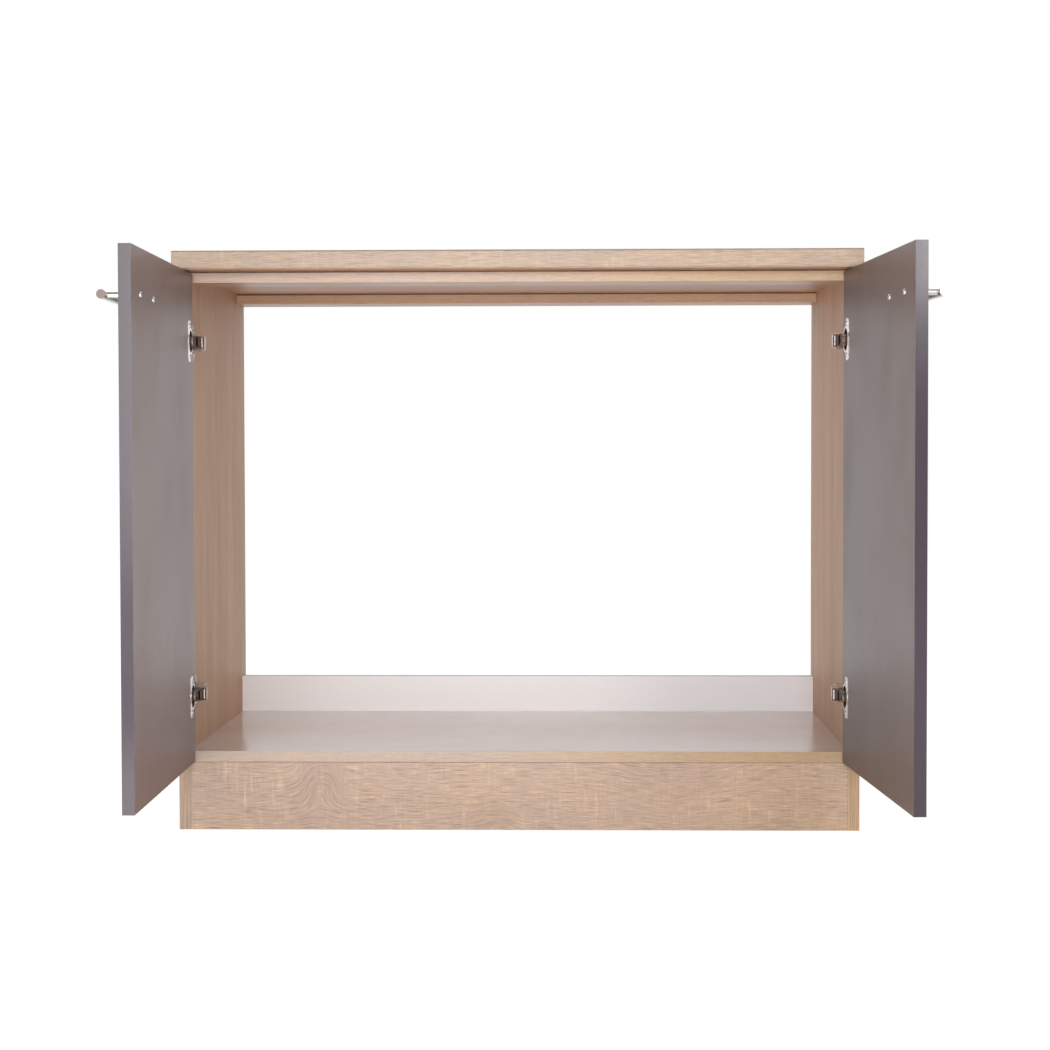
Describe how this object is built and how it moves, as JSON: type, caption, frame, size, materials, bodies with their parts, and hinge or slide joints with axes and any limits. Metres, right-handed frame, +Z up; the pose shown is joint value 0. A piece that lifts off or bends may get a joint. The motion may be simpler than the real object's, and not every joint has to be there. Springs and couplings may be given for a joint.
{
  "type": "sink base cabinet",
  "caption": "Open sink base cabinet with a flat worktop, side panels, plinth, cross rails, an open back and swinging doors on concealed cup hinges with round bar handles.",
  "frame": {"origin": "floor level, middle of the width, in the plane of the side panels' front edges", "axes": "+X to the right seen from the front, +Y back into the cabinet, +Z up"},
  "size_m": [1.0762, 1.066, 0.848],
  "materials": {
    "oak_board": "melamine-faced board with a light oak print, fine matt texture",
    "oak_edging": "light oak edge strip, satin",
    "oak_worktop": "light oak laminate, satin",
    "greige_board": "plain warm grey melamine, satin",
    "white_board": "plain off-white melamine, satin",
    "grey_door": "grey lacquered board, satin",
    "beech_dowel": "plain turned wood",
    "brushed_nickel": "brushed along the bar",
    "nickel_plate": "nickel-plated pressed steel",
    "dark_link": "plated steel, slightly oily",
    "steel_pin": "turned steel",
    "zinc_steel": "zinc-plated steel",
    "zinc_casting": "die-cast zinc, dull"
  },
  "bodies": {
    "carcass": {"left_side_panel": "oak_board", "right_side_panel": "oak_board", "bottom_panel": "greige_board", "bottom_panel_edging": "oak_edging", "plinth_board": "oak_board", "front_rail": "greige_board", "front_rail_edging": "oak_edging", "rear_rail": "greige_board", "rear_rail_edging": "oak_edging", "rear_board": "white_board", "worktop": "oak_worktop", "panel_dowels": "beech_dowel", "cam_bolts": "zinc_steel", "cam_locks": "zinc_casting", "worktop_screws": "zinc_steel", "left_upper_mounting_plate": "nickel_plate", "left_upper_plate_screws": "zinc_steel", "left_upper_arm": "nickel_plate", "left_upper_arm_screws": "zinc_steel", "left_upper_pivot_pins": "steel_pin", "left_lower_mounting_plate": "nickel_plate", "left_lower_plate_screws": "zinc_steel", "left_lower_arm": "nickel_plate", "left_lower_arm_screws": "zinc_steel", "left_lower_pivot_pins": "steel_pin", "right_upper_mounting_plate": "nickel_plate", "right_upper_plate_screws": "zinc_steel", "right_upper_arm": "nickel_plate", "right_upper_arm_screws": "zinc_steel", "right_upper_pivot_pins": "steel_pin", "right_lower_mounting_plate": "nickel_plate", "right_lower_plate_screws": "zinc_steel", "right_lower_arm": "nickel_plate", "right_lower_arm_screws": "zinc_steel", "right_lower_pivot_pins": "steel_pin"},
    "left_door": {"left_door_panel": "grey_door", "left_handle_bar": "brushed_nickel", "left_handle_posts": "brushed_nickel", "left_handle_screws": "zinc_steel", "left_upper_cup": "nickel_plate", "left_upper_cup_screws": "zinc_steel", "left_lower_cup": "nickel_plate", "left_lower_cup_screws": "zinc_steel"},
    "left_outer_links": {"left_upper_outer_link": "dark_link", "left_lower_outer_link": "dark_link"},
    "left_inner_links": {"left_upper_inner_link": "dark_link", "left_lower_inner_link": "dark_link"},
    "right_door": {"right_door_panel": "grey_door", "right_handle_bar": "brushed_nickel", "right_handle_posts": "brushed_nickel", "right_handle_screws": "zinc_steel", "right_upper_cup": "nickel_plate", "right_upper_cup_screws": "zinc_steel", "right_lower_cup": "nickel_plate", "right_lower_cup_screws": "zinc_steel"},
    "right_outer_links": {"right_upper_outer_link": "dark_link", "right_lower_outer_link": "dark_link"},
    "right_inner_links": {"right_upper_inner_link": "dark_link", "right_lower_inner_link": "dark_link"}
  },
  "joints": [
    {"name": "left_door_swing", "type": "hinge", "parent": "carcass", "child": "left_door", "pos_m": [-0.4895, -0.018, 0.459], "axis": [0, 0, 1], "range_deg": [-7, 89]},
    {"name": "left_outer_link_swing", "type": "hinge", "parent": "carcass", "child": "left_outer_links", "pos_m": [-0.463, 0.0036, 0.459], "axis": [0, 0, 1], "range_deg": [-29.82, 2.35]},
    {"name": "left_inner_link_swing", "type": "hinge", "parent": "carcass", "child": "left_inner_links", "pos_m": [-0.4685, 0.0047, 0.459], "axis": [0, 0, 1], "range_deg": [-37.38, 2.94]},
    {"name": "right_door_swing", "type": "hinge", "parent": "carcass", "child": "right_door", "pos_m": [0.4895, -0.018, 0.459], "axis": [0, 0, -1], "range_deg": [-2.3, 93.7]},
    {"name": "right_outer_link_swing", "type": "hinge", "parent": "carcass", "child": "right_outer_links", "pos_m": [0.463, 0.0036, 0.459], "axis": [0, 0, -1], "range_deg": [-31.39, 0.77]},
    {"name": "right_inner_link_swing", "type": "hinge", "parent": "carcass", "child": "right_inner_links", "pos_m": [0.4685, 0.0047, 0.459], "axis": [0, 0, -1], "range_deg": [-39.35, 0.97]}
  ],
  "couplings": [
    {"joint": "left_outer_link_swing", "follows": "left_door_swing", "ratio": -0.335},
    {"joint": "left_inner_link_swing", "follows": "left_door_swing", "ratio": -0.42},
    {"joint": "right_outer_link_swing", "follows": "right_door_swing", "ratio": -0.335},
    {"joint": "right_inner_link_swing", "follows": "right_door_swing", "ratio": -0.42}
  ]
}
